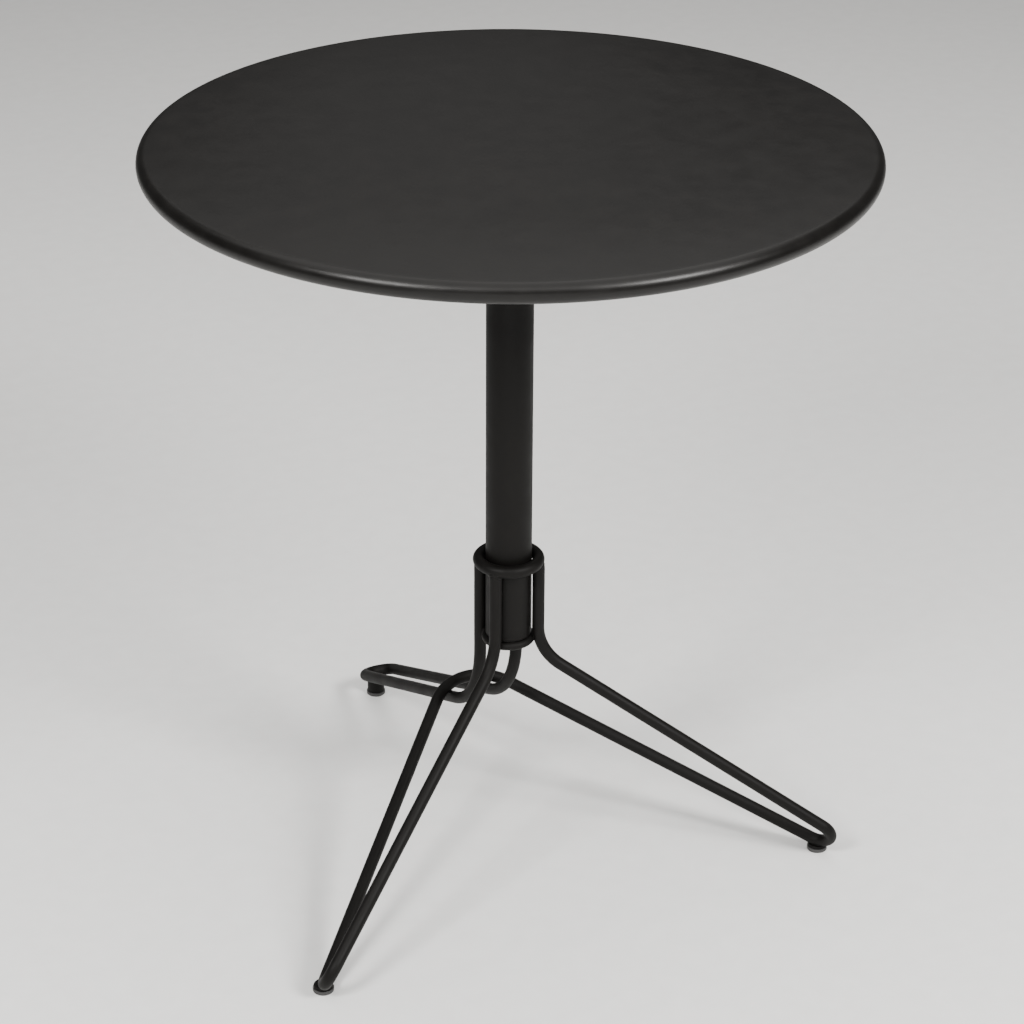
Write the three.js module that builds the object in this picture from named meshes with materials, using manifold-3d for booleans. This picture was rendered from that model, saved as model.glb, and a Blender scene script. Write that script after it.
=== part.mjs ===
// A three-legged bistro table: a round pressed top on a column, and a base bent from two round rods, all steel.
// Millimetres, +Z up. The origin is the point of the floor under the column's axis.
// The base is the same left and right of the plane X = 0: one leg points to the back (+Y), two to the front.
import * as THREE from "three";
import { mergeVertices } from "three/addons/utils/BufferGeometryUtils.js";
import Module from "manifold-3d";

const wasm = await Module();
wasm.setup();

// ---- Driving dimensions -------------------------------------------------------------------------
const GAP = 0.3; // left between two pieces that touch or are welded
// How many sides a full turn has, by kind of piece
const SIDES = { hole: 16, washer: 24, foot: 32, ring: 36, column: 48, top: 64 };

// Top: a sheet pressed flat in the middle, falling slightly towards a rolled rim
const TABLE_HEIGHT = 743.5;
const TOP_DIAMETER = 670;
const TOP_SHEET = 1.5;
const TOP_FLAT_RADIUS = 200;
const CROWN_DEGREES = 3.4; // how steeply the sheet falls where the rim begins
const CROWN_STEPS = 4;
const RIM_RADIUS = 9.5;
const RIM_CURL_DEGREES = 250;
const RIM_STEPS = 12;

// Stiffening pan welded under the top, and the flange that the column carries
const PAN_RADIUS = 115;
const PAN_LIP = 15;
const PAN_SHEET = 2;
const PAN_DEPTH = 12;
const PAN_WALL_RUN = 8;
const FLANGE_RADIUS = 70;
const FLANGE_THICKNESS = 5;
const FLANGE_CENTRE_HOLE = 12;
const BOLT_CIRCLE_RADIUS = 50;
const BOLT_COUNT = 4;
const BOLT_HOLE_DIAMETER = 9;
const BOLT = { shank: 8, acrossFlats: 13, head: 5.3, reach: 17 };
const NUT = { acrossFlats: 13, height: 6.5, bore: 8.8 };
const WASHER = { outer: 16, bore: 8.8, thickness: 1.6 };

// Column
const TUBE_DIAMETER = 44.5;
const TUBE_WALL = 2;
const TUBE_BOTTOM = 238;
const PLUG = { length: 25, bore: 10.8 };
const TIE_BOLT = { shank: 10, acrossFlats: 16, head: 6.4, reach: 32 };
const TIE_WASHER = { bore: 10.8, thickness: 3, rim: 0.5 }; // a cone above a low rim
const SHANK_ROOT = 1; // how far a shank starts inside its head, so that both are one solid

// Rods of the base
const ROD_DIAMETER = 12;
const ROD_SIDES = 12;
const BEND_STEP_DEGREES = 12;
const SHORTEST_RUN = 0.1; // two bends closer than this run into each other
const LEG_ANGLE = 60; // of each front leg, from -Y

// Front rod, right half: places along the leg, aside of it towards the front, and above the floor
const FRONT_UPRIGHT = { along: 29.2, aside: 4.2, height: 220.1 };
const FRONT_TIP = { along: 323, aside: 19.4, height: 33 };
const FRONT_TIP_LOW = { along: 323, aside: 4.6, height: 5.6 };
const FRONT_ELBOW_RADIUS = 48;
const ARCH_CORNER = { back: 119, height: 151.2 };
const ARCH_RADIUS = 54;

// Back rod, right half
const BACK_UPRIGHT = { half: 19.8, back: 21.8, height: 150 };
const BACK_TIP = { half: 16.4, back: 322, height: 26 };
const BACK_ELBOW_RADIUS = 92;

// Collar rings
const UPPER_RING = { radius: 28.6, height: 317.5, rod: 12 };
const LOWER_RING = { radius: 22, height: 233, rod: 8 };

// Feet
const FRONT_FOOT = { reach: 311, bossTop: 7 }; // reach: from the column's axis
const BACK_FOOT = { reach: 320, bossTop: 22 };
const BOSS_DIAMETER = 18;
const GLIDE = { diameter: 20, floor: 2.6, lip: 1.4, chamfer: 1 };

// ---- Materials ----------------------------------------------------------------------------------
const powderCoat = () => new THREE.MeshStandardMaterial({ color: 0x1d1c1b, roughness: 0.55, metalness: 0 });
const zincSteel = () => new THREE.MeshStandardMaterial({ color: 0x9a9c9e, roughness: 0.4, metalness: 1 });
const greyPlastic = () => new THREE.MeshStandardMaterial({ color: 0x454544, roughness: 0.6, metalness: 0 });

// ---- Solids -------------------------------------------------------------------------------------
const MERGE_DISTANCE = 1e-3;

function toSolid(geometry) {
  const bare = geometry.clone();
  bare.deleteAttribute("normal");
  bare.deleteAttribute("uv");
  const merged = mergeVertices(bare, MERGE_DISTANCE);
  const mesh = new wasm.Mesh({
    numProp: 3,
    vertProperties: new Float32Array(merged.attributes.position.array),
    triVerts: new Uint32Array(merged.index.array),
  });
  return new wasm.Manifold(mesh);
}

function fromSolid(solid) {
  const mesh = solid.getMesh();
  const geometry = new THREE.BufferGeometry();
  geometry.setAttribute("position", new THREE.BufferAttribute(mesh.vertProperties, 3));
  geometry.setIndex(new THREE.BufferAttribute(mesh.triVerts, 1));
  return geometry;
}

// A solid of revolution about Z from [radius, height] points, counter-clockwise with radius to the right.
function revolved(profile, segments) {
  const points = profile.map(([radius, height]) => new THREE.Vector2(radius, height));
  return new THREE.LatheGeometry(points, segments).rotateX(Math.PI / 2);
}

function disc(radius, bottom, top, segments = SIDES.foot) {
  return revolved([[0, bottom], [radius, bottom], [radius, top], [0, top]], segments);
}

function ringPlate(outer, inner, bottom, top, segments = SIDES.foot) {
  const profile = [[inner, bottom], [outer, bottom], [outer, top], [inner, top], [inner, bottom]];
  return revolved(profile, segments);
}

function torus(radius, height, rod) {
  const profile = [];
  for (let i = 0; i <= ROD_SIDES; i++) {
    const angle = (i / ROD_SIDES) * 2 * Math.PI;
    profile.push([radius + (rod / 2) * Math.cos(angle), height + (rod / 2) * Math.sin(angle)]);
  }
  profile[ROD_SIDES] = profile[0];
  return revolved(profile, SIDES.ring);
}

function hexagonPrism(acrossFlats, bottom, top) {
  const outline = new THREE.Shape();
  const corner = acrossFlats / Math.sqrt(3);
  for (let i = 0; i < 6; i++) {
    const angle = (i * Math.PI) / 3;
    const x = corner * Math.cos(angle);
    const y = corner * Math.sin(angle);
    if (i === 0) outline.moveTo(x, y);
    else outline.lineTo(x, y);
  }
  const prism = new THREE.ExtrudeGeometry(outline, { depth: top - bottom, bevelEnabled: false });
  return prism.translate(0, 0, bottom);
}

// ---- Bent rods ----------------------------------------------------------------------------------
// A bend that rounds the corner between two straight runs: it starts and ends where the runs touch its arc.
function bendStations(before, corner, after, radius) {
  const incoming = corner.clone().sub(before).normalize();
  const outgoing = after.clone().sub(corner).normalize();
  const turn = incoming.angleTo(outgoing);
  const setback = radius * Math.tan(turn / 2);
  const start = corner.clone().addScaledVector(incoming, -setback);
  const axis = incoming.clone().cross(outgoing).normalize();
  const centre = start.clone().addScaledVector(axis.clone().cross(incoming), radius);
  const steps = Math.ceil(THREE.MathUtils.radToDeg(turn) / BEND_STEP_DEGREES);
  const stations = [];
  for (let i = 0; i <= steps; i++) {
    const angle = (turn * i) / steps;
    const point = start.clone().sub(centre).applyAxisAngle(axis, angle).add(centre);
    stations.push({ point, tangent: incoming.clone().applyAxisAngle(axis, angle) });
  }
  return stations;
}

// The bend radius at which the two bends of a hairpin run into each other halfway between its corners.
function hairpinRadius(before, first, second, after) {
  const incoming = first.clone().sub(before);
  const across = second.clone().sub(first);
  const outgoing = after.clone().sub(second);
  const setbacks = Math.tan(incoming.angleTo(across) / 2) + Math.tan(across.angleTo(outgoing) / 2);
  return across.length() / setbacks;
}

class BentRodCurve extends THREE.Curve {
  // corners: the points where the straight runs would meet, each with its bend radius; the ends have none
  constructor(corners) {
    super();
    const points = corners.map((corner) => corner.at);
    const last = points.length - 1;
    const startTangent = points[1].clone().sub(points[0]).normalize();
    const endTangent = points[last].clone().sub(points[last - 1]).normalize();
    this.stations = [{ point: points[0], tangent: startTangent }];
    for (let i = 1; i < last; i++) {
      for (const station of bendStations(points[i - 1], points[i], points[i + 1], corners[i].bend)) {
        const previous = this.stations[this.stations.length - 1].point;
        if (station.point.distanceTo(previous) > SHORTEST_RUN) this.stations.push(station);
      }
    }
    this.stations.push({ point: points[last], tangent: endTangent });
  }

  stationAt(u) {
    return this.stations[Math.round(u * (this.stations.length - 1))];
  }

  getPointAt(u, target = new THREE.Vector3()) {
    return target.copy(this.stationAt(u).point);
  }

  getTangentAt(u, target = new THREE.Vector3()) {
    return target.copy(this.stationAt(u).tangent);
  }
}

function rodAlong(corners, diameter) {
  const section = new THREE.Shape();
  for (let i = 0; i < ROD_SIDES; i++) {
    const angle = ((i + 0.5) / ROD_SIDES) * 2 * Math.PI;
    const x = (diameter / 2) * Math.cos(angle);
    const y = (diameter / 2) * Math.sin(angle);
    if (i === 0) section.moveTo(x, y);
    else section.lineTo(x, y);
  }
  const curve = new BentRodCurve(corners);
  return new THREE.ExtrudeGeometry(section, { steps: curve.stations.length - 1, extrudePath: curve });
}

const mirrored = (point) => new THREE.Vector3(-point.x, point.y, point.z);

// A point beside the front right leg.
function legPoint({ along, aside, height }) {
  const angle = THREE.MathUtils.degToRad(LEG_ANGLE);
  const x = along * Math.sin(angle) - aside * Math.cos(angle);
  const y = -along * Math.cos(angle) - aside * Math.sin(angle);
  return new THREE.Vector3(x, y, height);
}

const UPRIGHT_TOP = UPPER_RING.height - UPPER_RING.rod / 2 - GAP;

function frontRodCorners() {
  const elbow = legPoint(FRONT_UPRIGHT);
  const end = elbow.clone().setZ(UPRIGHT_TOP);
  const tip = legPoint(FRONT_TIP);
  const lowTip = legPoint(FRONT_TIP_LOW);
  const arch = new THREE.Vector3(0, ARCH_CORNER.back, ARCH_CORNER.height);
  const hairpin = hairpinRadius(elbow, tip, lowTip, arch);
  const right = [
    { at: end },
    { at: elbow, bend: FRONT_ELBOW_RADIUS },
    { at: tip, bend: hairpin },
    { at: lowTip, bend: hairpin },
  ];
  const left = right.map((corner) => ({ ...corner, at: mirrored(corner.at) })).reverse();
  return [...right, { at: arch, bend: ARCH_RADIUS }, ...left];
}

function backRodCorners() {
  const elbow = new THREE.Vector3(BACK_UPRIGHT.half, BACK_UPRIGHT.back, BACK_UPRIGHT.height);
  const end = elbow.clone().setZ(UPRIGHT_TOP);
  const tip = new THREE.Vector3(BACK_TIP.half, BACK_TIP.back, BACK_TIP.height);
  const hairpin = hairpinRadius(elbow, tip, mirrored(tip), mirrored(elbow));
  const right = [{ at: end }, { at: elbow, bend: BACK_ELBOW_RADIUS }, { at: tip, bend: hairpin }];
  const left = right.map((corner) => ({ ...corner, at: mirrored(corner.at) })).reverse();
  return [...right, ...left];
}

// ---- Top and its fixing -------------------------------------------------------------------------
// The outer skin of the top, from the axis outwards: flat, falling along an arc, then round the rolled rim.
function skinPoints(inset) {
  const rimCentre = TOP_DIAMETER / 2 - RIM_RADIUS;
  const crownAngle = THREE.MathUtils.degToRad(CROWN_DEGREES);
  const curlAngle = THREE.MathUtils.degToRad(RIM_CURL_DEGREES);
  const crownRadius = (rimCentre - TOP_FLAT_RADIUS) / Math.sin(crownAngle) + RIM_RADIUS;
  const crownCentreHeight = TABLE_HEIGHT - crownRadius;
  const rimCentreHeight = crownCentreHeight + (crownRadius - RIM_RADIUS) * Math.cos(crownAngle);
  const points = [[0, TABLE_HEIGHT - inset]];
  const bend = (centre, centreHeight, radius, from, to, steps) => {
    for (let i = 0; i <= steps; i++) {
      const angle = from + ((to - from) * i) / steps;
      points.push([centre + radius * Math.sin(angle), centreHeight + radius * Math.cos(angle)]);
    }
  };
  bend(TOP_FLAT_RADIUS, crownCentreHeight, crownRadius - inset, 0, crownAngle, CROWN_STEPS);
  points.pop();
  bend(rimCentre, rimCentreHeight, RIM_RADIUS - inset, crownAngle, curlAngle, RIM_STEPS);
  return points;
}

function tableTop() {
  const outside = skinPoints(0);
  const inside = skinPoints(TOP_SHEET);
  return revolved([...inside, ...outside.reverse()], SIDES.top);
}

// The pan: a lip against the top's underside, a sloping wall, and a floor that the bolts pass through.
function stiffeningPan() {
  const lipTop = TABLE_HEIGHT - TOP_SHEET - GAP;
  const floorTop = lipTop - PAN_DEPTH;
  const wallTop = PAN_RADIUS - PAN_LIP;
  const floorRadius = wallTop - PAN_WALL_RUN;
  const profile = [
    [0, floorTop - PAN_SHEET],
    [floorRadius + PAN_SHEET / 2, floorTop - PAN_SHEET],
    [wallTop + PAN_SHEET / 2, lipTop - PAN_SHEET],
    [PAN_RADIUS, lipTop - PAN_SHEET],
    [PAN_RADIUS, lipTop],
    [wallTop, lipTop],
    [floorRadius, floorTop],
    [0, floorTop],
  ];
  return drilled(revolved(profile, SIDES.column));
}

// Cuts a hole for every bolt of the bolt circle.
function drilled(geometry) {
  let solid = toSolid(geometry);
  for (const place of boltPlaces()) {
    const drill = disc(BOLT_HOLE_DIAMETER / 2, 0, TABLE_HEIGHT, SIDES.hole).translate(place.x, place.y, 0);
    solid = solid.subtract(toSolid(drill));
  }
  return fromSolid(solid);
}

function boltPlaces() {
  const places = [];
  for (let i = 0; i < BOLT_COUNT; i++) {
    const angle = ((i + 0.5) / BOLT_COUNT) * 2 * Math.PI;
    places.push(new THREE.Vector2(Math.cos(angle), Math.sin(angle)).multiplyScalar(BOLT_CIRCLE_RADIUS));
  }
  return places;
}

const PAN_FLOOR_TOP = TABLE_HEIGHT - TOP_SHEET - GAP - PAN_DEPTH;
const FLANGE_TOP = PAN_FLOOR_TOP - PAN_SHEET - GAP;
const FLANGE_BOTTOM = FLANGE_TOP - FLANGE_THICKNESS;

function columnFlange() {
  const plate = ringPlate(FLANGE_RADIUS, FLANGE_CENTRE_HOLE / 2, FLANGE_BOTTOM, FLANGE_TOP, SIDES.column);
  return drilled(plate);
}

// A hexagon-headed bolt, its head down.
function hexagonBolt(bolt, headTop) {
  const head = toSolid(hexagonPrism(bolt.acrossFlats, headTop - bolt.head, headTop));
  const shank = toSolid(disc(bolt.shank / 2, headTop - SHANK_ROOT, headTop + bolt.reach, SIDES.hole));
  return fromSolid(head.add(shank));
}

function weldNut() {
  const bottom = PAN_FLOOR_TOP + GAP;
  const prism = toSolid(hexagonPrism(NUT.acrossFlats, bottom, bottom + NUT.height));
  return fromSolid(prism.subtract(toSolid(disc(NUT.bore / 2, 0, TABLE_HEIGHT, SIDES.hole))));
}

// ---- Column foot and collar ---------------------------------------------------------------------
function columnPlug() {
  const outer = TUBE_DIAMETER / 2 - TUBE_WALL - GAP;
  return ringPlate(outer, PLUG.bore / 2, TUBE_BOTTOM, TUBE_BOTTOM + PLUG.length);
}

// The lower ring sits in the crook of the four uprights, so it is notched where they stand.
function lowerCollarRing(notchingRods) {
  let ring = toSolid(torus(LOWER_RING.radius, LOWER_RING.height, LOWER_RING.rod));
  for (const rod of notchingRods) ring = ring.subtract(rod);
  return fromSolid(ring);
}

// The tie bolt's washer: a 45-degree cone that seats on the inner side of the lower ring.
// Everywhere on the cone radius and height add up to the same length.
function tieWasher(bottom) {
  const seatDepth = (LOWER_RING.rod / 2) * Math.cos(Math.PI / ROD_SIDES) + GAP;
  const seat = LOWER_RING.radius + LOWER_RING.height - seatDepth * Math.SQRT2;
  const coneBottom = bottom + TIE_WASHER.rim;
  const top = bottom + TIE_WASHER.thickness;
  const profile = [
    [TIE_WASHER.bore / 2, bottom],
    [seat - coneBottom, bottom],
    [seat - coneBottom, coneBottom],
    [seat - top, top],
    [TIE_WASHER.bore / 2, top],
    [TIE_WASHER.bore / 2, bottom],
  ];
  return revolved(profile, SIDES.ring);
}

// ---- Feet ---------------------------------------------------------------------------------------
// A steel boss under a rod, its top hollowed to the rod that is welded into it.
function footBoss(place, top, rod) {
  const boss = disc(BOSS_DIAMETER / 2, GLIDE.floor + GAP, top).translate(place.x, place.y, 0);
  return fromSolid(toSolid(boss).subtract(rod));
}

// A plastic glide, a shallow cap that grips the lower end of the boss.
function footGlide() {
  const recess = BOSS_DIAMETER / 2 + GAP;
  const height = GLIDE.floor + GLIDE.lip;
  const profile = [
    [0, 0],
    [GLIDE.diameter / 2 - GLIDE.chamfer, 0],
    [GLIDE.diameter / 2, GLIDE.chamfer],
    [GLIDE.diameter / 2, height],
    [recess, height],
    [recess, GLIDE.floor],
    [0, GLIDE.floor],
  ];
  return revolved(profile, SIDES.foot);
}

// ---- Assembly -----------------------------------------------------------------------------------
const table = new THREE.Group();

function add(name, geometry, material) {
  const mesh = new THREE.Mesh(geometry, material);
  mesh.name = name;
  table.add(mesh);
  return mesh;
}

function addTop() {
  add("table_top", tableTop(), powderCoat());
  add("stiffening_pan", stiffeningPan(), powderCoat());
  const washerTop = FLANGE_BOTTOM - GAP;
  const washerBottom = washerTop - WASHER.thickness;
  const headTop = washerBottom - GAP;
  const washer = ringPlate(WASHER.outer / 2, WASHER.bore / 2, washerBottom, washerTop, SIDES.washer);
  for (const [i, place] of boltPlaces().entries()) {
    const pieces = [
      add(`weld_nut_${i + 1}`, weldNut(), zincSteel()),
      add(`top_bolt_${i + 1}`, hexagonBolt(BOLT, headTop), zincSteel()),
      add(`bolt_washer_${i + 1}`, washer.clone(), zincSteel()),
    ];
    for (const piece of pieces) piece.position.set(place.x, place.y, 0);
  }
}

function addColumn() {
  const inner = TUBE_DIAMETER / 2 - TUBE_WALL;
  const tube = ringPlate(TUBE_DIAMETER / 2, inner, TUBE_BOTTOM, FLANGE_BOTTOM - GAP, SIDES.column);
  add("column_flange", columnFlange(), powderCoat());
  add("column_tube", tube, powderCoat());
  add("column_plug", columnPlug(), zincSteel());
}

function addBase() {
  const frontRod = frontRodCorners();
  const backRod = backRodCorners();
  add("front_legs_rod", rodAlong(frontRod, ROD_DIAMETER), powderCoat());
  add("back_leg_rod", rodAlong(backRod, ROD_DIAMETER), powderCoat());
  const frontSpace = toSolid(rodAlong(frontRod, ROD_DIAMETER + 2 * GAP));
  const backSpace = toSolid(rodAlong(backRod, ROD_DIAMETER + 2 * GAP));
  add("upper_collar_ring", torus(UPPER_RING.radius, UPPER_RING.height, UPPER_RING.rod), powderCoat());
  add("lower_collar_ring", lowerCollarRing([frontSpace, backSpace]), powderCoat());

  const washerBottom = LOWER_RING.height - LOWER_RING.rod / 2;
  add("tie_washer", tieWasher(washerBottom), zincSteel());
  add("tie_bolt", hexagonBolt(TIE_BOLT, washerBottom - GAP), zincSteel());

  const feet = [
    { side: "front_left", angle: -LEG_ANGLE, foot: FRONT_FOOT, rod: frontSpace },
    { side: "front_right", angle: LEG_ANGLE, foot: FRONT_FOOT, rod: frontSpace },
    { side: "back", angle: 180, foot: BACK_FOOT, rod: backSpace },
  ];
  for (const { side, angle, foot, rod } of feet) {
    const turn = THREE.MathUtils.degToRad(angle);
    const place = new THREE.Vector2(Math.sin(turn), -Math.cos(turn)).multiplyScalar(foot.reach);
    add(`${side}_foot_boss`, footBoss(place, foot.bossTop, rod), powderCoat());
    add(`${side}_foot_glide`, footGlide(), greyPlastic()).position.set(place.x, place.y, 0);
  }
}

addTop();
addColumn();
addBase();

export default table;
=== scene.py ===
"""Looks of a three-legged bistro table: black powder-coated steel, zinc-plated fasteners, plastic glides.

Metres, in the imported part's frame: +Z up, origin on the floor under the column's axis, back leg along +Y.
Every round piece is rebuilt here as a fine mesh on the same dimensions, and the weld beads are added.
"""
import math

import bpy
import numpy as np
from mathutils import Matrix, Vector, noise


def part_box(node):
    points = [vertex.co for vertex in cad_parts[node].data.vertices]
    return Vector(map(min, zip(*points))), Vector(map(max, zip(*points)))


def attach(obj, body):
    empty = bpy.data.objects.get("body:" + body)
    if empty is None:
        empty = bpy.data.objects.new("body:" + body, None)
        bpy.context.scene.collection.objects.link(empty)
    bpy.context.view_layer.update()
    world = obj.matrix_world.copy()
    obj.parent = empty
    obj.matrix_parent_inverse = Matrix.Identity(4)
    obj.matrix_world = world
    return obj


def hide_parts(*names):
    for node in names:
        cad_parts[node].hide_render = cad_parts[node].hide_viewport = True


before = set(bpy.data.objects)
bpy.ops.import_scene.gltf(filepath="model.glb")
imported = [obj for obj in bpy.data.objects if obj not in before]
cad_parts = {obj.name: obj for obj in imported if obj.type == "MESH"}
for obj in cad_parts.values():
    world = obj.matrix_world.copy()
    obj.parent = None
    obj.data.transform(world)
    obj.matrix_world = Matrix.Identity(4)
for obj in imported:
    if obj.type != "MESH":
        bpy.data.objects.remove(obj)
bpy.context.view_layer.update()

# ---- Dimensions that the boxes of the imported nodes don't tell ------------------------------------
TOP_FLAT_RADIUS = 0.200
CROWN_ANGLE = math.radians(3.4)  # how steeply the sheet falls where the rim begins
TOP_SHEET = 0.0015
RIM_RADIUS = 0.0095
RIM_CURL = math.radians(250)

PAN_LIP = 0.015
PAN_WALL_RUN = 0.008
PAN_SHEET = 0.002
PAN_BEND = 0.003
TUBE_WALL = 0.002
FLANGE_HOLE_RADIUS = 0.006
BOLT_COUNT = 4
BOLT_ACROSS_FLATS = 0.013
BOLT_HEAD = 0.0053
BOLT_SHANK_RADIUS = 0.004
BOLT_SIDES = 72  # points round a bolt or a nut
NUT_BORE_RADIUS = 0.0044
TIE_ACROSS_FLATS = 0.016
TIE_HEAD = 0.0064
TIE_SHANK_RADIUS = 0.005
TIE_BORE_RADIUS = 0.0054
TIE_WASHER_RIM = 0.0005
FACE_SHARE = 0.475  # a hexagon's round face, as a share of its width across flats
FACE_SLOPE = math.tan(math.radians(30))  # of the turned corners outside that face
EDGE = 0.0004  # the rounding of a cut edge under paint
UPPER_RING_ROD_RADIUS = 0.006
LOWER_RING_ROD_RADIUS = 0.004
GLIDE_FLOOR = 0.0026
GLIDE_EDGE = 0.001

ROD_RADIUS = 0.006
LEG_ANGLE = math.radians(60)  # of each front leg, from -Y
# Corners where a rod's straight runs would meet: along the leg, aside of it to the front, above the floor
FRONT_UPRIGHT = (0.0292, 0.0042, 0.2201)
FRONT_TIP = (0.323, 0.0194, 0.033)
FRONT_TIP_LOW = (0.323, 0.0046, 0.0056)
FRONT_ELBOW_RADIUS = 0.048
ARCH_CORNER = Vector((0, 0.119, 0.1512))
ARCH_RADIUS = 0.054
BACK_UPRIGHT = Vector((0.0198, 0.0218, 0.150))
BACK_TIP = Vector((0.0164, 0.322, 0.026))
BACK_ELBOW_RADIUS = 0.092

# ---- Camera and light ----------------------------------------------------------------------------
CAMERA_AZIMUTH = math.radians(-26.87)
CAMERA_DISTANCE = 2.541  # level, from the column's axis
CAMERA_HEIGHT = 1.660
CAMERA_SHIFT_ASIDE = 0.0029  # level, to the right of the line to the axis
CAMERA_PITCH = math.radians(26.96)  # below level
CAMERA_ROLL = math.radians(0.33)
CAMERA_LENS = 105.2  # mm, on a 36 mm sensor


# ---- Mesh helpers --------------------------------------------------------------------------------
SHARP_ANGLE = math.radians(35)  # edges that turn more than this stay sharp
ROUNDING_STEPS = 5


def mesh_piece(name, vertices, faces, material):
    """A new smooth-shaded mesh object, whose sharp edges stay sharp."""
    mesh = bpy.data.meshes.new(name)
    mesh.from_pydata([tuple(v) for v in vertices], [], faces)
    mesh.validate()
    mesh.materials.append(material)
    mesh.shade_smooth()
    mesh.set_sharp_from_angle(angle=SHARP_ANGLE)
    piece = bpy.data.objects.new(name, mesh)
    bpy.context.scene.collection.objects.link(piece)
    return piece


def place_piece(piece, material_slot, *nodes):
    """Rides the piece on the table's one body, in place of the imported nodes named."""
    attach(piece, "root")
    if nodes:
        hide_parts(*nodes)
    return piece


def stacked(name, rings, material, looped=False):
    """A solid of stacked rings of vertices. The first and last are single points, or it loops back."""
    vertices = [vertex for ring in rings for vertex in ring]
    numbered = []
    count = 0
    for ring in rings:
        numbered.append(list(range(count, count + len(ring))))
        count += len(ring)
    if looped:
        numbered.append(numbered[0])
    faces = []
    for low, high in zip(numbered, numbered[1:]):
        faces += faces_between(low, high)
    return mesh_piece(name, vertices, faces, material)


def faces_between(low, high):
    """The faces between two rings of vertices, either of which may be one point."""
    faces = []
    sides = max(len(low), len(high))
    for i in range(sides):
        j = (i + 1) % sides
        if len(low) == 1:
            faces.append((low[0], high[j], high[i]))
        elif len(high) == 1:
            faces.append((low[i], low[j], high[0]))
        else:
            faces.append((low[i], low[j], high[j], high[i]))
    return faces


def circle(radius, height, sides, centre=(0, 0)):
    """A ring of points round an upright axis, or the one point on it."""
    if radius == 0:
        return [Vector((*centre, height))]
    angles = [2 * math.pi * i / sides for i in range(sides)]
    x, y = centre
    return [Vector((x + radius * math.cos(a), y + radius * math.sin(a), height)) for a in angles]


def lathe(name, profile, material, sides=128, centre=(0, 0)):
    """A solid of revolution from (radius, height) points that start and end on the axis or loop round."""
    looped = profile[0][0] > 0
    rings = [circle(radius, height, sides, centre) for radius, height in profile]
    return stacked(name, rings, material, looped)


def arc(centre, radius, start, end, steps):
    """(radius, height) points on a circle, its angles from straight up and turning outwards."""
    points = []
    for i in range(steps + 1):
        angle = start + (end - start) * i / steps
        points.append((centre[0] + radius * math.sin(angle), centre[1] + radius * math.cos(angle)))
    return points


def rounded(outline):
    """(radius, height) points of a closed outline of (radius, height, bend) corners."""
    points = []
    for i, (radius, height, bend) in enumerate(outline):
        corner = Vector((radius, height))
        if bend == 0:
            points.append((radius, height))
            continue
        before = (Vector(outline[i - 1][:2]) - corner).normalized()
        after = (Vector(outline[(i + 1) % len(outline)][:2]) - corner).normalized()
        half = before.angle(after) / 2
        centre = corner + (before + after).normalized() * bend / math.sin(half)
        first = corner + before * bend / math.tan(half) - centre
        last = corner + after * bend / math.tan(half) - centre
        turn = first.angle(last)
        for k in range(ROUNDING_STEPS + 1):
            share = k / ROUNDING_STEPS
            blend = first * math.sin((1 - share) * turn) + last * math.sin(share * turn)
            points.append(tuple(centre + blend / math.sin(turn)))
    return points


def tube_along(name, points, radii, material, sides, centre=None):
    """A round tube along points: a closed loop round a centre or, without a centre, capped at both ends."""
    count = len(points)
    closed = centre is not None
    vertices = []
    side = None
    for i, point in enumerate(points):
        before = points[i - 1] if closed or i > 0 else point
        after = points[(i + 1) % count] if closed or i < count - 1 else point
        tangent = (after - before).normalized()
        if closed:
            side = point - centre
        elif side is None:
            side = tangent.orthogonal()
        side = (side - tangent * side.dot(tangent)).normalized()
        across = tangent.cross(side)
        for k in range(sides):
            angle = 2 * math.pi * k / sides
            vertices.append(point + radii[i] * (side * math.cos(angle) + across * math.sin(angle)))
    faces = []
    for i in range(count if closed else count - 1):
        low = [i * sides + k for k in range(sides)]
        high = [((i + 1) % count) * sides + k for k in range(sides)]
        faces += faces_between(low, high)
    if not closed:
        faces.append(tuple(reversed(range(sides))))
        faces.append(tuple(range((count - 1) * sides, count * sides)))
    return mesh_piece(name, vertices, faces, material)


# ---- Bent rods -----------------------------------------------------------------------------------
BEND_STEP = math.radians(4)


def bend_points(before, corner, after, radius):
    """The arc that rounds a corner between two straight runs."""
    incoming = (corner - before).normalized()
    outgoing = (after - corner).normalized()
    turn = incoming.angle(outgoing)
    start = corner - incoming * radius * math.tan(turn / 2)
    axis = incoming.cross(outgoing).normalized()
    centre = start + axis.cross(incoming) * radius
    steps = math.ceil(turn / BEND_STEP)
    turns = [Matrix.Rotation(turn * i / steps, 3, axis) for i in range(steps + 1)]
    return [centre + rotation @ (start - centre) for rotation in turns]


def hairpin_radius(before, first, second, after):
    """The bend radius at which two bends run into each other halfway between their corners."""
    incoming = first - before
    across = second - first
    outgoing = after - second
    setbacks = math.tan(incoming.angle(across) / 2) + math.tan(across.angle(outgoing) / 2)
    return across.length / setbacks


def rod_points(corners):
    """The centreline of a bent rod from (corner, bend radius) pairs, whose ends have no bend."""
    points = [corners[0][0]]
    for i in range(1, len(corners) - 1):
        for point in bend_points(corners[i - 1][0], corners[i][0], corners[i + 1][0], corners[i][1]):
            if (point - points[-1]).length > 0.0001:
                points.append(point)
    points.append(corners[-1][0])
    return points


def mirrored(point):
    return Vector((-point.x, point.y, point.z))


def leg_point(along, aside, height):
    """A point beside the front right leg."""
    x = along * math.sin(LEG_ANGLE) - aside * math.cos(LEG_ANGLE)
    y = -along * math.cos(LEG_ANGLE) - aside * math.sin(LEG_ANGLE)
    return Vector((x, y, height))


def both_sides(right, middle):
    """The corners of a rod that is the same left and right of X = 0."""
    left = [(mirrored(point), radius) for point, radius in reversed(right)]
    return right + middle + left


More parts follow.
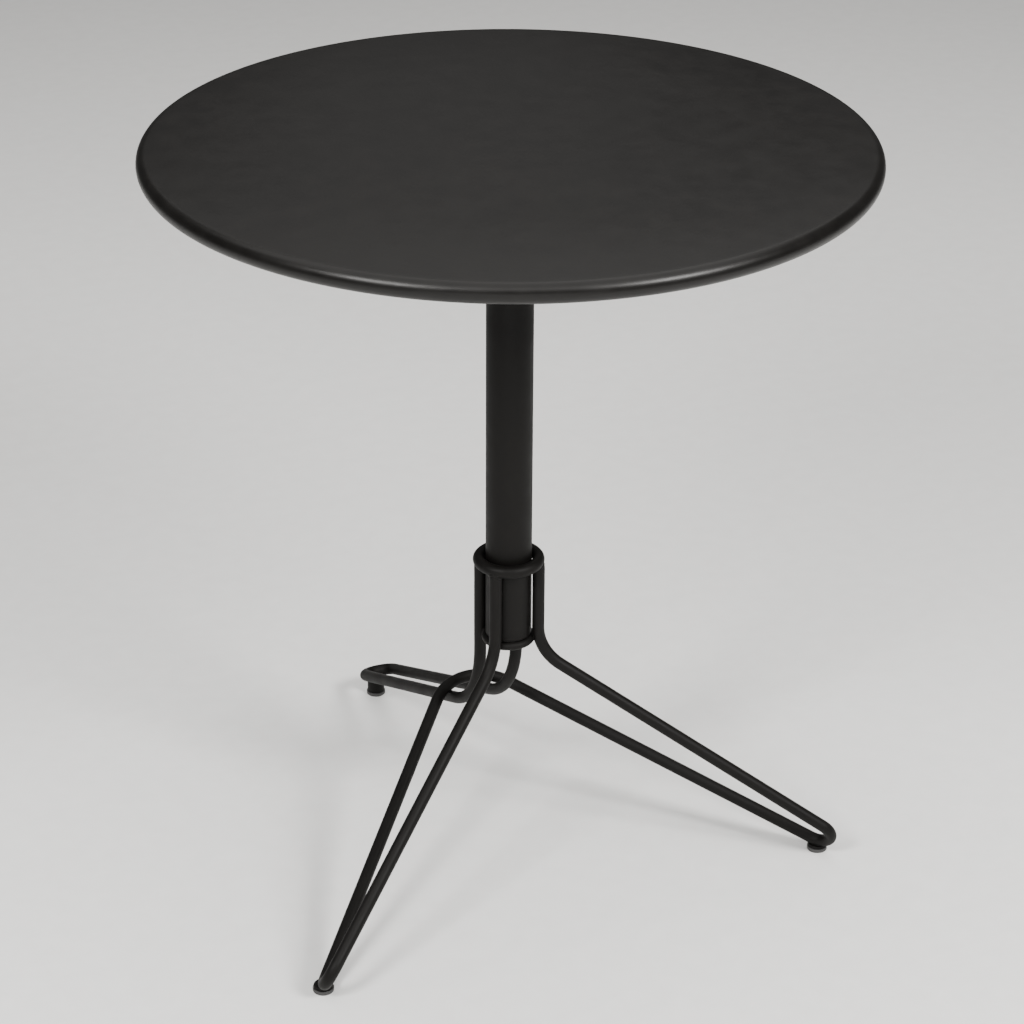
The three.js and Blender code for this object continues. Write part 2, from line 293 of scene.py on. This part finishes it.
def front_rod_corners(upright_top):
    elbow = leg_point(*FRONT_UPRIGHT)
    tip = leg_point(*FRONT_TIP)
    low_tip = leg_point(*FRONT_TIP_LOW)
    hairpin = hairpin_radius(elbow, tip, low_tip, ARCH_CORNER)
    end = Vector((elbow.x, elbow.y, upright_top))
    right = [(end, 0), (elbow, FRONT_ELBOW_RADIUS), (tip, hairpin), (low_tip, hairpin)]
    return both_sides(right, [(ARCH_CORNER, ARCH_RADIUS)])


def back_rod_corners(upright_top):
    hairpin = hairpin_radius(BACK_UPRIGHT, BACK_TIP, mirrored(BACK_TIP), mirrored(BACK_UPRIGHT))
    end = Vector((BACK_UPRIGHT.x, BACK_UPRIGHT.y, upright_top))
    right = [(end, 0), (BACK_UPRIGHT, BACK_ELBOW_RADIUS), (BACK_TIP, hairpin)]
    return both_sides(right, [])


# ---- Weld beads ----------------------------------------------------------------------------------
TUBE_BEAD = 0.0022  # the radius of each bead
UPPER_BEAD = 0.0015
LOWER_BEAD = 0.0018
ARCH_BEAD = 0.0018
FOOT_BEAD = 0.0016
BEAD_DEPTH = 0.0003  # how deep a bead's middle lies inside the two pieces that it joins
BEAD_STEPS = 48
SWELL = 0.15  # a share of the radius
SWELLS_PER_METRE = 180
RIPPLE = 0.04  # a share of the radius
RIPPLE_STEPS = 6

NEWTON_STEPS = 12
PROBE = 1e-6  # a distance for slopes
LONGEST_STEP = 0.002
ROD_SPACING = 0.0004  # between the points where two rods are compared


def rod_distance(points):
    """A function that gives how far a point is outside a rod with this centreline."""
    starts = np.array(points[:-1])
    runs = np.array(points[1:]) - starts
    lengths = (runs * runs).sum(1)

    def distance(point):
        offset = np.asarray(point) - starts
        share = np.clip((offset * runs).sum(1) / lengths, 0, 1)
        return float(np.linalg.norm(offset - share[:, None] * runs, axis=1).min()) - ROD_RADIUS

    return distance


def ring_distance(ring_radius, height, radius):
    """A function that gives how far a point is outside a level ring round the column's axis."""
    def distance(point):
        return math.hypot(math.hypot(point[0], point[1]) - ring_radius, point[2] - height) - radius

    return distance


def cylinder_distance(centre, radius, top):
    """A function that gives how far a point is outside an upright cylinder that goes down from top."""
    def distance(point):
        aside = math.hypot(point[0] - centre[0], point[1] - centre[1]) - radius
        above = point[2] - top
        return min(max(aside, above), 0) + math.hypot(max(aside, 0), max(above, 0))

    return distance


def crease_loop(first, second, centre, axis):
    """The points round an axis that lie a little inside both shapes: the line that a weld bead follows."""
    axis = Vector(axis).normalized()
    side = axis.orthogonal().normalized()
    across = axis.cross(side)
    reach = ROD_RADIUS
    rise = 0
    loop = []
    for i in range(BEAD_STEPS):
        angle = 2 * math.pi * i / BEAD_STEPS
        out = side * math.cos(angle) + across * math.sin(angle)
        for _ in range(NEWTON_STEPS):
            here = misses(first, second, centre + out * reach + axis * rise)
            outer = misses(first, second, centre + out * (reach + PROBE) + axis * rise)
            upper = misses(first, second, centre + out * reach + axis * (rise + PROBE))
            slopes = np.column_stack([(outer - here) / PROBE, (upper - here) / PROBE])
            step = np.linalg.lstsq(slopes, -here, rcond=1e-3)[0]
            step *= min(1, LONGEST_STEP / max(np.abs(step).max(), PROBE))
            reach += step[0]
            rise += step[1]
        loop.append(centre + out * reach + axis * rise)
    return loop


def misses(first, second, point):
    """How far a point is from the bead's depth inside each of two shapes."""
    return np.array([first(point) + BEAD_DEPTH, second(point) + BEAD_DEPTH])


def weld_bead(name, loop, radius, material):
    """A closed bead with the slow swell and the fine ripple of a hand-run weld under paint."""
    centre = sum(loop, Vector()) / len(loop)
    radii = []
    for i, point in enumerate(loop):
        swell = SWELL * noise.noise(point * SWELLS_PER_METRE)
        ripple = RIPPLE * math.sin(2 * math.pi * i / RIPPLE_STEPS)
        radii.append(radius * (1 + swell + ripple))
    bead = tube_along(name, loop, radii, material, sides=14, centre=centre)
    return place_piece(bead, "powder_coated_steel")


# ---- Materials -----------------------------------------------------------------------------------
NOISE_LOW = 0.3
NOISE_HIGH = 0.7


def new_material(name):
    """A material with its node tree, its shader and the coordinates of the object in metres."""
    material = bpy.data.materials.new(name)
    material.use_nodes = True
    nodes = material.node_tree.nodes
    shader = nodes["Principled BSDF"]
    coordinates = nodes.new("ShaderNodeTexCoord").outputs["Object"]
    return material, shader, coordinates


def noise_node(material, coordinates, scale, detail, stretch=(1, 1, 1)):
    """Noise whose grains are about 1 / scale metres wide, stretched along the axes."""
    nodes = material.node_tree.nodes
    links = material.node_tree.links
    mapping = nodes.new("ShaderNodeMapping")
    mapping.inputs["Scale"].default_value = stretch
    links.new(coordinates, mapping.inputs["Vector"])
    texture = nodes.new("ShaderNodeTexNoise")
    texture.inputs["Scale"].default_value = scale
    texture.inputs["Detail"].default_value = detail
    links.new(mapping.outputs["Vector"], texture.inputs["Vector"])
    return texture.outputs["Fac"]


def ranged(material, value, low, high):
    """Maps the part of its range that a noise value is mostly in onto another range."""
    node = material.node_tree.nodes.new("ShaderNodeMapRange")
    node.inputs["From Min"].default_value = NOISE_LOW
    node.inputs["From Max"].default_value = NOISE_HIGH
    node.inputs["To Min"].default_value = low
    node.inputs["To Max"].default_value = high
    material.node_tree.links.new(value, node.inputs["Value"])
    return node.outputs["Result"]


def mixed_colour(material, value, first, second):
    """A colour between two, by a noise value."""
    node = material.node_tree.nodes.new("ShaderNodeMix")
    node.data_type = "RGBA"
    node.inputs[6].default_value = (*first, 1)
    node.inputs[7].default_value = (*second, 1)
    material.node_tree.links.new(value, node.inputs[0])
    return node.outputs[2]


def bumped(material, height, distance, strength, under=None):
    """A bump of a depth in metres, on top of another bump."""
    node = material.node_tree.nodes.new("ShaderNodeBump")
    node.inputs["Strength"].default_value = strength
    node.inputs["Distance"].default_value = distance
    links = material.node_tree.links
    links.new(height, node.inputs["Height"])
    if under:
        links.new(under, node.inputs["Normal"])
    return node.outputs["Normal"]


def powder_coat(name, smoothest, roughest, reflection, pebble_depth):
    """Near-black powder coat with a warm tint: a pebbled skin, slow clouds in its colour and sheen."""
    material, shader, coordinates = new_material(name)
    links = material.node_tree.links
    clouds = noise_node(material, coordinates, 45, detail=3)
    waves = noise_node(material, coordinates, 160, detail=2)
    pebbles = noise_node(material, coordinates, 850, detail=1)
    share = ranged(material, clouds, 0, 1)
    colour = mixed_colour(material, share, (0.0034, 0.0031, 0.0028), (0.0048, 0.0044, 0.0040))
    links.new(colour, shader.inputs["Base Color"])
    links.new(ranged(material, clouds, smoothest, roughest), shader.inputs["Roughness"])
    wavy = bumped(material, waves, 0.00010, strength=0.5)
    links.new(bumped(material, pebbles, pebble_depth, strength=0.8, under=wavy), shader.inputs["Normal"])
    shader.inputs["Specular IOR Level"].default_value = reflection
    return material


def zinc_plate():
    """Bright zinc plating: a grey metal with a slight cast, drawn marks and a mottled shine."""
    material, shader, coordinates = new_material("zinc_plate")
    links = material.node_tree.links
    marks = noise_node(material, coordinates, 1400, detail=2, stretch=(1, 1, 0.15))
    stains = noise_node(material, coordinates, 160, detail=3)
    colour = mixed_colour(material, ranged(material, stains, 0, 1), (0.44, 0.45, 0.46), (0.58, 0.59, 0.58))
    links.new(colour, shader.inputs["Base Color"])
    links.new(ranged(material, stains, 0.30, 0.42), shader.inputs["Roughness"])
    links.new(bumped(material, marks, 0.00002, strength=0.6), shader.inputs["Normal"])
    shader.inputs["Metallic"].default_value = 1
    return material


def glide_plastic():
    """Moulded dark grey plastic: faintly grained, scuffed in patches."""
    material, shader, coordinates = new_material("glide_plastic")
    links = material.node_tree.links
    scuffs = noise_node(material, coordinates, 420, detail=3)
    grain = noise_node(material, coordinates, 2600, detail=1)
    share = ranged(material, scuffs, 0, 1)
    colour = mixed_colour(material, share, (0.030, 0.030, 0.030), (0.042, 0.042, 0.042))
    links.new(colour, shader.inputs["Base Color"])
    links.new(ranged(material, scuffs, 0.45, 0.62), shader.inputs["Roughness"])
    links.new(bumped(material, grain, 0.00003, strength=0.5), shader.inputs["Normal"])
    return material


# ---- Top -----------------------------------------------------------------------------------------
def skin_points(inset):
    """The top's outer skin from the axis to the end of the rolled rim, moved inwards by inset."""
    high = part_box("table_top")[1]
    rim_centre = high.x - RIM_RADIUS
    crown_radius = (rim_centre - TOP_FLAT_RADIUS) / math.sin(CROWN_ANGLE) + RIM_RADIUS
    crown_centre = (TOP_FLAT_RADIUS, high.z - crown_radius)
    rim_height = high.z - crown_radius + (crown_radius - RIM_RADIUS) * math.cos(CROWN_ANGLE)
    crown = arc(crown_centre, crown_radius - inset, 0, CROWN_ANGLE, 24)
    rim = arc((rim_centre, rim_height), RIM_RADIUS - inset, CROWN_ANGLE, RIM_CURL, 48)
    return [(0, high.z - inset)] + crown[:-1] + rim


def make_top(material):
    profile = skin_points(TOP_SHEET) + list(reversed(skin_points(0)))
    top = lathe("round_top", profile, material, sides=256)
    return place_piece(top, "powder_coated_steel", "table_top")


def make_pan(material):
    """The pressed pan under the top: a lip against the sheet, a sloping wall and a flat floor."""
    low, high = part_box("stiffening_pan")
    wall_top = high.x - PAN_LIP
    floor_radius = wall_top - PAN_WALL_RUN
    outline = [
        (0, low.z, 0),
        (floor_radius + PAN_SHEET / 2, low.z, PAN_BEND + PAN_SHEET),
        (wall_top + PAN_SHEET / 2, high.z - PAN_SHEET, PAN_BEND),
        (high.x, high.z - PAN_SHEET, EDGE),
        (high.x, high.z, EDGE),
        (wall_top, high.z, PAN_BEND + PAN_SHEET),
        (floor_radius, low.z + PAN_SHEET, PAN_BEND),
        (0, low.z + PAN_SHEET, 0),
    ]
    pan = lathe("pressed_pan", rounded(outline), material)
    return place_piece(pan, "powder_coated_steel", "stiffening_pan")


def flat_ring(name, node, inner, edge, material, material_slot, sides=96):
    """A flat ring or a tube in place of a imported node, its edges rounded."""
    low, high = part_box(node)
    outer = (high.x - low.x) / 2
    corners = [(inner, low.z), (outer, low.z), (outer, high.z), (inner, high.z)]
    outline = rounded([(*corner, edge) for corner in corners])
    ring = lathe(name, outline, material, sides=sides, centre=((low + high) / 2).xy)
    return place_piece(ring, material_slot, node)


def hexagon(across_flats, height, lift, centre):
    """A ring of points round a hexagon, each raised by lift times how far it is outside the round face."""
    face = across_flats * FACE_SHARE
    points = []
    for i in range(BOLT_SIDES):
        angle = 2 * math.pi * i / BOLT_SIDES
        from_flat = angle % (math.pi / 3) - math.pi / 6
        radius = across_flats / 2 / math.cos(from_flat)
        z = height + lift * (radius - face)
        x = centre[0] + radius * math.cos(angle)
        y = centre[1] + radius * math.sin(angle)
        points.append(Vector((x, y, z)))
    return points


def hexagon_bolt(name, node, across_flats, head, shank_radius, material):
    """A hexagon-headed bolt standing on its head, the lower corners of the head turned off."""
    low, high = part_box(node)
    centre = ((low + high) / 2).xy
    face = across_flats * FACE_SHARE
    head_top = low.z + head
    rings = [
        circle(0, low.z, BOLT_SIDES, centre),
        circle(face, low.z, BOLT_SIDES, centre),
        hexagon(across_flats, low.z, FACE_SLOPE, centre),
        hexagon(across_flats, head_top, 0, centre),
        circle(shank_radius, head_top, BOLT_SIDES, centre),
        circle(shank_radius, high.z - EDGE, BOLT_SIDES, centre),
        circle(shank_radius - EDGE, high.z, BOLT_SIDES, centre),
        circle(0, high.z, BOLT_SIDES, centre),
    ]
    bolt = stacked(name, rings, material)
    return place_piece(bolt, "zinc_plated_steel", node)


def hexagon_nut(name, node, material):
    """A hexagon nut with both faces turned off at the corners."""
    low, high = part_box(node)
    centre = ((low + high) / 2).xy
    face = BOLT_ACROSS_FLATS * FACE_SHARE
    rings = [
        circle(NUT_BORE_RADIUS, low.z, BOLT_SIDES, centre),
        circle(face, low.z, BOLT_SIDES, centre),
        hexagon(BOLT_ACROSS_FLATS, low.z, FACE_SLOPE, centre),
        hexagon(BOLT_ACROSS_FLATS, high.z, -FACE_SLOPE, centre),
        circle(face, high.z, BOLT_SIDES, centre),
        circle(NUT_BORE_RADIUS, high.z, BOLT_SIDES, centre),
    ]
    nut = stacked(name, rings, material, looped=True)
    return place_piece(nut, "zinc_plated_steel", node)


def make_fixings(zinc):
    """The nuts, bolts and washers that hold the flange to the pan."""
    for i in range(1, BOLT_COUNT + 1):
        hexagon_nut(f"pan_nut_{i}", f"weld_nut_{i}", zinc)
        bolt = (f"flange_bolt_{i}", f"top_bolt_{i}")
        hexagon_bolt(*bolt, BOLT_ACROSS_FLATS, BOLT_HEAD, BOLT_SHANK_RADIUS, zinc)
        washer = (f"flange_washer_{i}", f"bolt_washer_{i}")
        flat_ring(*washer, NUT_BORE_RADIUS, EDGE / 2, zinc, "zinc_plated_steel")


# ---- Column and collar ---------------------------------------------------------------------------
def make_column(paint, zinc):
    """The tube with its flange on top and its plug, washer and bolt at the foot."""
    tube_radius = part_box("column_tube")[1].x
    flat_ring("tube", "column_tube", tube_radius - TUBE_WALL, EDGE, paint, "powder_coated_steel", sides=160)
    flat_ring("flange", "column_flange", FLANGE_HOLE_RADIUS, EDGE, paint, "powder_coated_steel", sides=160)
    flat_ring("plug", "column_plug", TIE_BORE_RADIUS, EDGE, zinc, "zinc_plated_steel")
    cone_washer(zinc)
    hexagon_bolt("foot_bolt", "tie_bolt", TIE_ACROSS_FLATS, TIE_HEAD, TIE_SHANK_RADIUS, zinc)
    flange_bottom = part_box("column_flange")[0].z
    loop = circle(tube_radius + TUBE_BEAD / 2, flange_bottom - TUBE_BEAD / 2, 120)
    weld_bead("tube_weld", loop, TUBE_BEAD, paint)


def cone_washer(material):
    """The tie bolt's washer: a 45-degree cone above a low rim, seated in the lower ring."""
    low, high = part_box("tie_washer")
    rim_top = low.z + TIE_WASHER_RIM
    outline = [
        (TIE_BORE_RADIUS, low.z, EDGE),
        (high.x, low.z, EDGE / 2),
        (high.x, rim_top, EDGE / 2),
        (high.x - (high.z - rim_top), high.z, EDGE),
        (TIE_BORE_RADIUS, high.z, EDGE),
    ]
    washer = lathe("foot_washer", rounded(outline), material, sides=96)
    place_piece(washer, "zinc_plated_steel", "tie_washer")


def ring_sizes(node, rod_radius):
    """The centreline's radius and height of a collar ring."""
    low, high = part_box(node)
    return high.x - rod_radius, (low.z + high.z) / 2


def make_collar(paint):
    """The two round rings that hold the four uprights together round the column."""
    rings = [
        ("upper_ring", "upper_collar_ring", UPPER_RING_ROD_RADIUS),
        ("lower_ring", "lower_collar_ring", LOWER_RING_ROD_RADIUS),
    ]
    for name, node, rod_radius in rings:
        radius, height = ring_sizes(node, rod_radius)
        section = arc((radius, height), rod_radius, 0, -2 * math.pi, 32)[:-1]
        place_piece(lathe(name, section, paint, sides=144), "powder_coated_steel", node)


# ---- Base ----------------------------------------------------------------------------------------
def make_rod(name, node, points, paint):
    """A bent rod whose two ends are domed, as they disappear in the welds of the upper ring."""
    start = points[0] - points[1]
    end = points[-1] - points[-2]
    angles = [math.radians(angle) for angle in range(15, 90, 15)]
    rises = [ROD_RADIUS * math.sin(angle) for angle in angles]
    widths = [ROD_RADIUS * math.cos(angle) for angle in angles]
    before = [points[0] + start.normalized() * rise for rise in reversed(rises)]
    after = [points[-1] + end.normalized() * rise for rise in rises]
    radii = widths[::-1] + [ROD_RADIUS] * len(points) + widths
    rod = tube_along(name, before + points + after, radii, paint, sides=32)
    return place_piece(rod, "powder_coated_steel", node)


def make_foot(side, paint, plastic):
    """A round boss under a leg, and the plastic cap on its lower end."""
    low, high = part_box(f"{side}_foot_boss")
    centre = ((low + high) / 2).xy
    radius = (high.x - low.x) / 2
    outline = [(0, low.z, 0), (radius, low.z, EDGE), (radius, high.z, 2 * EDGE), (0, high.z, 0)]
    boss = lathe(f"{side}_boss", rounded(outline), paint, sides=64, centre=centre)
    place_piece(boss, "powder_coated_steel", f"{side}_foot_boss")
    low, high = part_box(f"{side}_foot_glide")
    glide_radius = (high.x - low.x) / 2
    outline = [
        (0, low.z, 0),
        (glide_radius, low.z, GLIDE_EDGE),
        (glide_radius, high.z, EDGE),
        (radius, high.z, EDGE / 2),
        (radius, low.z + GLIDE_FLOOR, 0),
        (0, low.z + GLIDE_FLOOR, 0),
    ]
    glide = lathe(f"{side}_cap", rounded(outline), plastic, sides=96, centre=centre)
    place_piece(glide, "grey_plastic", f"{side}_foot_glide")


def make_base(paint, plastic):
    """The two bent rods with their feet, and the welds that join them and the rings."""
    front = rod_points(front_rod_corners(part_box("front_legs_rod")[1].z))
    back = rod_points(back_rod_corners(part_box("back_leg_rod")[1].z))
    make_rod("front_rod", "front_legs_rod", front, paint)
    make_rod("back_rod", "back_leg_rod", back, paint)
    for side in ("front_left", "front_right", "back"):
        make_foot(side, paint, plastic)
    weld_collar(front, back, paint)
    weld_arch(front, back, paint)
    weld_feet(front, back, paint)


def weld_collar(front, back, paint):
    """A bead round each upright's end under the upper ring, and one where it touches the lower ring."""
    upper = ring_sizes("upper_collar_ring", UPPER_RING_ROD_RADIUS)
    lower = ring_sizes("lower_collar_ring", LOWER_RING_ROD_RADIUS)
    upper_ring = ring_distance(*upper, UPPER_RING_ROD_RADIUS)
    lower_ring = ring_distance(*lower, LOWER_RING_ROD_RADIUS)
    for name, rod in (("front", front), ("back", back)):
        distance = rod_distance(rod)
        for side, end in (("right", rod[0]), ("left", rod[-1])):
            outwards = Vector((end.x, end.y, 0)).normalized()
            under = outwards * upper[0] + Vector((0, 0, (end.z + upper[1]) / 2))
            loop = crease_loop(upper_ring, distance, under, (0, 0, 1))
            weld_bead(f"upper_weld_{name}_{side}", loop, UPPER_BEAD, paint)
            beside = outwards * (lower[0] + LOWER_RING_ROD_RADIUS) + Vector((0, 0, lower[1]))
            loop = crease_loop(lower_ring, distance, beside, outwards)
            weld_bead(f"lower_weld_{name}_{side}", loop, LOWER_BEAD, paint)


def weld_arch(front, back, paint):
    """A bead where the front rod's arch lies across each run of the back rod."""
    half = len(back) // 2
    for side, run in (("right", back[:half]), ("left", back[half:])):
        over, under = closest_points(front, run)
        loop = crease_loop(rod_distance(front), rod_distance(back), (over + under) / 2, over - under)
        weld_bead(f"arch_weld_{side}", loop, ARCH_BEAD, paint)


def closest_points(first, second):
    """The points of two centrelines that are nearest to each other, to a fraction of a millimetre."""
    first_dense = resampled(first)
    second_dense = resampled(second)
    gaps = np.linalg.norm(first_dense[:, None] - second_dense[None], axis=2)
    i, j = np.unravel_index(gaps.argmin(), gaps.shape)
    return Vector(first_dense[i]), Vector(second_dense[j])


def resampled(points):
    """Points at an even spacing along straight runs."""
    samples = []
    for start, end in zip(points, points[1:]):
        count = math.ceil((end - start).length / ROD_SPACING)
        samples += [start.lerp(end, k / count) for k in range(count)]
    return np.array(samples)


def weld_feet(front, back, paint):
    """A bead round each rod where it is sunk in the top of its boss."""
    for side, rod in (("front_left", front), ("front_right", front), ("back", back)):
        low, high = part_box(f"{side}_foot_boss")
        middle = (low + high) / 2
        boss = cylinder_distance(middle.xy, (high.x - low.x) / 2, high.z)
        centre = Vector((middle.x, middle.y, high.z))
        loop = crease_loop(rod_distance(rod), boss, centre, (0, 0, 1))
        weld_bead(f"{side}_foot_weld", loop, FOOT_BEAD, paint)


# ---- Studio --------------------------------------------------------------------------------------
FLOOR_HALF = 9
WARM = (1, 0.985, 0.965)


def make_floor():
    """A pale floor, wide enough to fill the picture."""
    material, shader, coordinates = new_material("pale_floor")
    specks = noise_node(material, coordinates, 40, detail=3)
    colour = mixed_colour(material, ranged(material, specks, 0, 1), (0.79, 0.79, 0.78), (0.82, 0.82, 0.81))
    material.node_tree.links.new(colour, shader.inputs["Base Color"])
    shader.inputs["Roughness"].default_value = 0.75
    corners = [(x * FLOOR_HALF, y * FLOOR_HALF, 0) for x, y in ((-1, -1), (1, -1), (1, 1), (-1, 1))]
    floor = mesh_piece("floor", corners, [(0, 1, 2, 3)], material)


def softbox(name, azimuth, elevation, distance, width, height, power, tint):
    """An area light that looks at the table from an azimuth (0 is -Y, 90 is +X) and an elevation."""
    data = bpy.data.lights.new(name, "AREA")
    data.shape = "RECTANGLE"
    data.size = width
    data.size_y = height
    data.energy = power
    data.color = tint
    lamp = bpy.data.objects.new(name, data)
    a = math.radians(azimuth)
    e = math.radians(elevation)
    towards = Vector((math.sin(a) * math.cos(e), -math.cos(a) * math.cos(e), math.sin(e)))
    lamp.location = Vector((0, 0, 0.5)) + towards * distance
    lamp.rotation_euler = towards.to_track_quat("Z", "Y").to_euler()
    bpy.context.scene.collection.objects.link(lamp)


def light_studio():
    """A dim room, large boxes over, before and behind the table, and two that draw the rim's streaks."""
    world = bpy.data.worlds.new("studio")
    world.use_nodes = True
    world.node_tree.nodes["Background"].inputs["Color"].default_value = (1, 0.99, 0.975, 1)
    world.node_tree.nodes["Background"].inputs["Strength"].default_value = 0.08
    bpy.context.scene.world = world
    softbox("overhead_box", -27, 90, 2.7, 4.4, 4.4, 125, WARM)
    softbox("front_box", -22, 46, 2.8, 2.4, 1.1, 16, WARM)
    softbox("left_box", -66, 36, 2.8, 0.7, 0.7, 75, WARM)
    softbox("right_box", 24, 36, 2.8, 0.8, 0.7, 100, WARM)
    softbox("back_panel", 156, 24, 3.2, 0.8, 0.9, 0.4, WARM)
    softbox("back_box", 153, 40, 3.2, 3.0, 0.9, 6, WARM)
    softbox("low_front_box", -27, 0, 2.8, 2.4, 0.9, 14, WARM)


def place_camera():
    """The camera, from the front left and above."""
    data = bpy.data.cameras.new("camera")
    data.lens = CAMERA_LENS
    data.sensor_width = 36
    camera = bpy.data.objects.new("camera", data)
    back = Vector((math.sin(CAMERA_AZIMUTH), -math.cos(CAMERA_AZIMUTH), 0))
    right = Vector((math.cos(CAMERA_AZIMUTH), math.sin(CAMERA_AZIMUTH), 0))
    place = back * CAMERA_DISTANCE + right * CAMERA_SHIFT_ASIDE + Vector((0, 0, CAMERA_HEIGHT))
    turned = Matrix.Rotation(CAMERA_AZIMUTH, 4, "Z")
    tilted = Matrix.Rotation(math.pi / 2 - CAMERA_PITCH, 4, "X")
    rolled = Matrix.Rotation(CAMERA_ROLL, 4, "Z")
    camera.matrix_world = Matrix.Translation(place) @ turned @ tilted @ rolled
    bpy.context.scene.collection.objects.link(camera)
    bpy.context.scene.camera = camera


# ---- Scene ---------------------------------------------------------------------------------------
top_paint = powder_coat("satin_coat", 0.33, 0.38, 0.24, 0.00003)
paint = powder_coat("textured_coat", 0.50, 0.60, 0.13, 0.00007)
zinc = zinc_plate()
plastic = glide_plastic()
make_top(top_paint)
make_pan(paint)
make_fixings(zinc)
make_column(paint, zinc)
make_collar(paint)
make_base(paint, plastic)
make_floor()
light_studio()
place_camera()
